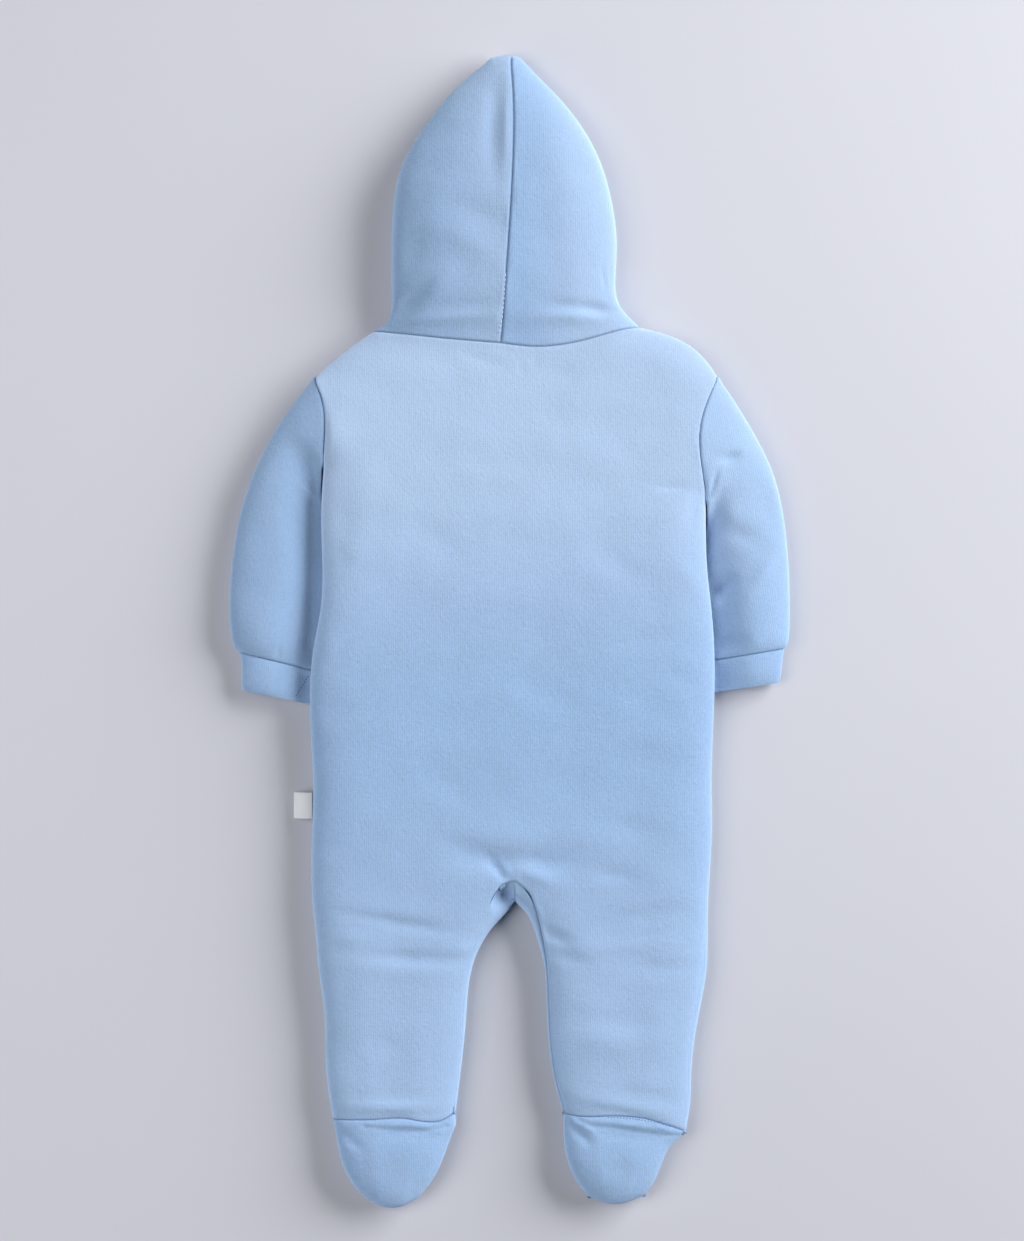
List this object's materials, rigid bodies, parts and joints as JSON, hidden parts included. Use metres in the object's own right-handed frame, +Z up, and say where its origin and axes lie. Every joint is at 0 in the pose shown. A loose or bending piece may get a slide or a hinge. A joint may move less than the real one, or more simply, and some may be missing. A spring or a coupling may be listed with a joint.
{
  "type": "footed baby sleepsuit",
  "caption": "Hooded, footed baby sleepsuit in light blue brushed knit, laid face down: long sleeves with cuffs, legs with closed feet, pointed hood, front opening with press studs.",
  "frame": {"origin": "middle of the box round the garment as it lies, on the floor", "axes": "+X across, towards the right in the picture (the garment's own right side); +Y along the body towards the tip of the hood; +Z up from the floor, towards the camera"},
  "size_m": [0.3651, 0.7497, 0.0281],
  "materials": {
    "back": "light blue brushed cotton knit, soft and matt",
    "front_left": "light blue brushed cotton knit, soft and matt",
    "front_right": "light blue brushed cotton knit, soft and matt",
    "sleeve_left": "light blue brushed cotton knit, soft and matt",
    "sleeve_right": "light blue brushed cotton knit, soft and matt",
    "cuff_left": "light blue brushed cotton knit, soft and matt",
    "cuff_right": "light blue brushed cotton knit, soft and matt",
    "hood_left": "light blue brushed cotton knit, soft and matt",
    "hood_right": "light blue brushed cotton knit, soft and matt",
    "sole_left": "light blue brushed cotton knit, soft and matt",
    "sole_right": "light blue brushed cotton knit, soft and matt",
    "foot_upper_left": "light blue brushed cotton knit, soft and matt",
    "foot_upper_right": "light blue brushed cotton knit, soft and matt",
    "side_label": "white woven tape, plain",
    "press_studs": "small bright metal press studs"
  },
  "bodies": {
    "root": {"back": "back", "front_left": "front_left", "front_right": "front_right", "sleeve_left": "sleeve_left", "sleeve_right": "sleeve_right", "cuff_left": "cuff_left", "cuff_right": "cuff_right", "hood_left": "hood_left", "hood_right": "hood_right", "sole_left": "sole_left", "sole_right": "sole_right", "foot_upper_left": "foot_upper_left", "foot_upper_right": "foot_upper_right", "side_label": "side_label", "press_stud_1": "press_studs", "press_stud_2": "press_studs", "press_stud_3": "press_studs", "press_stud_4": "press_studs", "press_stud_5": "press_studs", "press_stud_6": "press_studs", "press_stud_7": "press_studs"}
  },
  "joints": []
}
